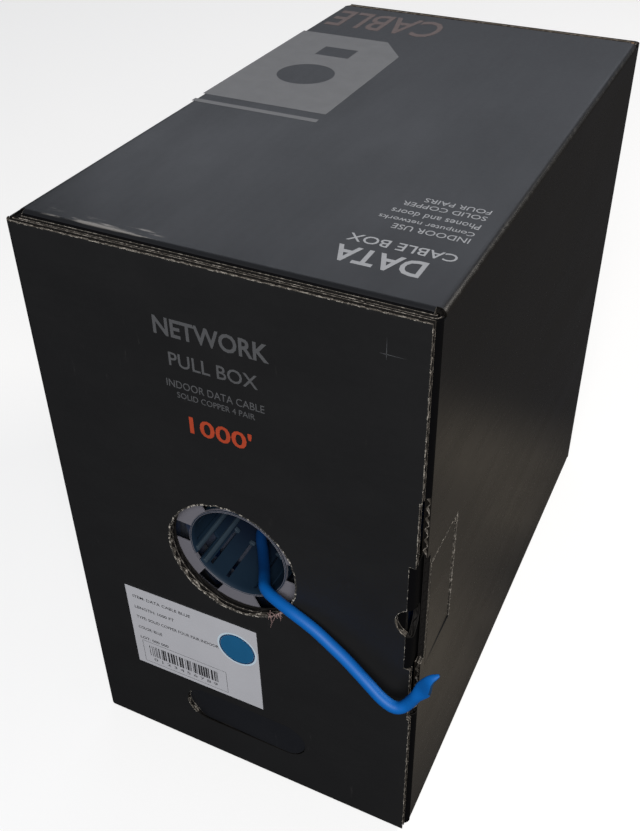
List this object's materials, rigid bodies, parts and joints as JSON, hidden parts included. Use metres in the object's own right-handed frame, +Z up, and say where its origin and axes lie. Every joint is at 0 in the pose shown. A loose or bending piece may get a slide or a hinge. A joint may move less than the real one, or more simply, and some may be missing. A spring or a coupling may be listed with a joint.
{
  "type": "cable pull box",
  "caption": "Printed corrugated pull box that holds a wound coil of network cable and pays it out through a flanged tube in its front.",
  "frame": {"origin": "centre of the underside of the carton, without the cable lead", "axes": "+X to the right seen from the front, +Y from the payout hole to the back, +Z up"},
  "size_m": [0.2184, 0.379, 0.345],
  "materials": {
    "printed_board": "black satin print on corrugated board",
    "label_paper": "matte white label",
    "tube_plastic": "moulded grey, satin",
    "cable_jacket": "blue extruded jacket, satin",
    "wrap_film": "clear stretch film"
  },
  "bodies": {
    "root": {"top_wall": "printed_board", "right_wall": "printed_board", "bottom_wall": "printed_board", "left_wall": "printed_board", "glue_tab": "printed_board", "front_top_dust_flap": "printed_board", "front_bottom_dust_flap": "printed_board", "front_inner_flap": "printed_board", "back_top_dust_flap": "printed_board", "back_bottom_dust_flap": "printed_board", "back_inner_flap": "printed_board", "back_outer_panel": "printed_board", "payout_tube": "tube_plastic", "cable_coil": "cable_jacket", "coil_wrap": "wrap_film", "cable_feed": "cable_jacket"},
    "door": {"front_door": "printed_board", "door_tuck_tab": "printed_board", "shipping_label": "label_paper", "cable_lead": "cable_jacket"},
    "hand_flap": {"hand_hole_flap": "printed_board"},
    "lock_flap": {"side_lock_flap": "printed_board"}
  },
  "joints": [
    {"name": "door_hinge", "type": "hinge", "parent": "root", "child": "door", "pos_m": [-0.1015, -0.18105, 0.1725], "axis": [0, 0, -1], "range_deg": [0, 175]},
    {"name": "hand_flap_crease", "type": "hinge", "parent": "door", "child": "hand_flap", "pos_m": [0, -0.17805, 0.0545], "axis": [1, 0, 0], "range_deg": [0, 80]},
    {"name": "lock_flap_crease", "type": "hinge", "parent": "root", "child": "lock_flap", "pos_m": [0.1015, -0.16705, 0.17], "axis": [0, 0, -1], "range_deg": [0, 100]}
  ]
}
